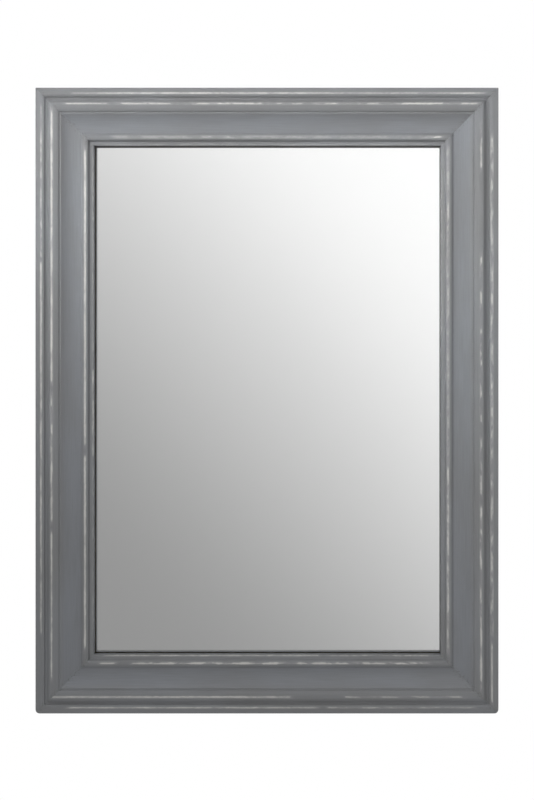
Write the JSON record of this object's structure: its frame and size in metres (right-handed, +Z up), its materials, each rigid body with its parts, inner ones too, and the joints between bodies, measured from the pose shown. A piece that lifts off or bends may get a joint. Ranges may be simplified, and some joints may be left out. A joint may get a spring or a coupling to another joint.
{
  "type": "framed wall mirror",
  "caption": "Tall rectangular wall mirror in a wide scooped timber moulding, distressed grey paint, flat plate glass, screwed backing board and swinging D-ring hangers.",
  "frame": {"origin": "on the wall's surface, midway between the two hooks that carry the D-rings, at the height where the rings' bows rest on them", "axes": "+X right as seen from the room, +Y into the wall, +Z up; the mirror faces -Y, its back pads touch the wall plane y = 0"},
  "size_m": [0.66, 0.036, 0.892],
  "materials": {
    "painted_wood": "cool grey paint, satin, rubbed through to warm white along the arrises",
    "glass": "polished clear float glass with seamed edges",
    "silvering": "silver coating with grey backing paint",
    "rubber": "matt black",
    "foam": "pale closed-cell foam",
    "fibreboard": "smooth brown hardboard",
    "screw_zinc": "yellow passivated zinc",
    "nail_steel": "bare steel strip",
    "plated_steel": "bright nickel plate"
  },
  "bodies": {
    "frame": {"frame_top_rail": "painted_wood", "frame_bottom_rail": "painted_wood", "frame_left_stile": "painted_wood", "frame_right_stile": "painted_wood", "mitre_v_nails": "nail_steel", "mirror_glass": "glass", "silvering": "silvering", "setting_block_left": "rubber", "setting_block_right": "rubber", "top_block_left": "rubber", "top_block_right": "rubber", "side_block_upper_left": "rubber", "side_block_lower_left": "rubber", "side_block_upper_right": "rubber", "side_block_lower_right": "rubber", "packing_strip_bottom": "foam", "packing_strip_top": "foam", "packing_strip_left": "foam", "packing_strip_right": "foam", "backing_board": "fibreboard", "backing_screws": "screw_zinc", "hanger_screws": "screw_zinc", "hanger_strap_left": "plated_steel", "hanger_strap_right": "plated_steel", "wall_pad_top_left": "rubber", "wall_pad_top_right": "rubber", "wall_pad_bottom_left": "rubber", "wall_pad_bottom_right": "rubber"},
    "ring_left": {"hanger_ring_left": "plated_steel"},
    "ring_right": {"hanger_ring_right": "plated_steel"}
  },
  "joints": [
    {"name": "ring_left_swing", "type": "hinge", "parent": "frame", "child": "ring_left", "pos_m": [-0.3, -0.0033, -0.014], "axis": [-1, 0, 0], "range_deg": [0, 178]},
    {"name": "ring_right_swing", "type": "hinge", "parent": "frame", "child": "ring_right", "pos_m": [0.3, -0.0033, -0.014], "axis": [-1, 0, 0], "range_deg": [0, 178]}
  ]
}
